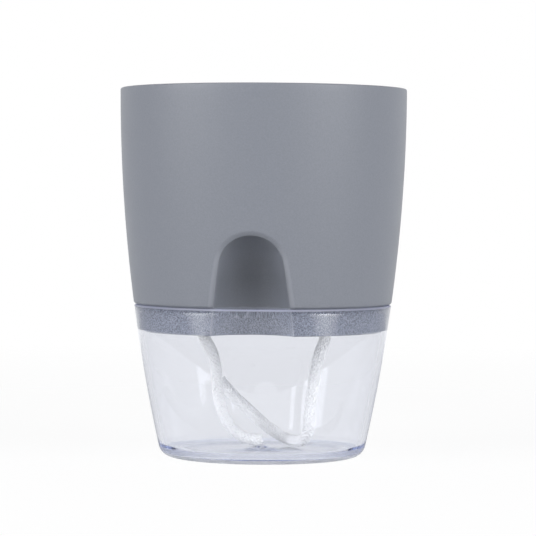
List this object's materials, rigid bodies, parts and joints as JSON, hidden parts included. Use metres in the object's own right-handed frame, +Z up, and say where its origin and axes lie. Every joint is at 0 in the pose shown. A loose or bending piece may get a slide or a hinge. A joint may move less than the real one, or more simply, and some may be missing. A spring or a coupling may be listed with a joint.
{
  "type": "self-watering plant pot",
  "caption": "Tapered round planter with an arched water inlet, dropped into a clear reservoir cup and fed by a cotton wick through its floor.",
  "frame": {"origin": "centre of the base, on the surface that the pot stands on", "axes": "+Z up along the pot's axis, -Y out through the arched water inlet, +X to the right of the inlet"},
  "size_m": [0.13, 0.13, 0.1668],
  "materials": {
    "clear_plastic": "clear, polished, faint violet-blue tint",
    "grey_plastic": "fine moulded grain",
    "cotton": "white braided cotton"
  },
  "bodies": {
    "reservoir": {"reservoir_cup": "clear_plastic"},
    "planter": {"planter_pot": "grey_plastic", "wick_left_tail": "cotton", "wick_bridge": "cotton", "wick_right_tail": "cotton"}
  },
  "joints": [
    {"name": "planter_lift", "type": "slide", "parent": "reservoir", "child": "planter", "axis": [0, 0, 1], "range_m": [0, 0.085]}
  ]
}
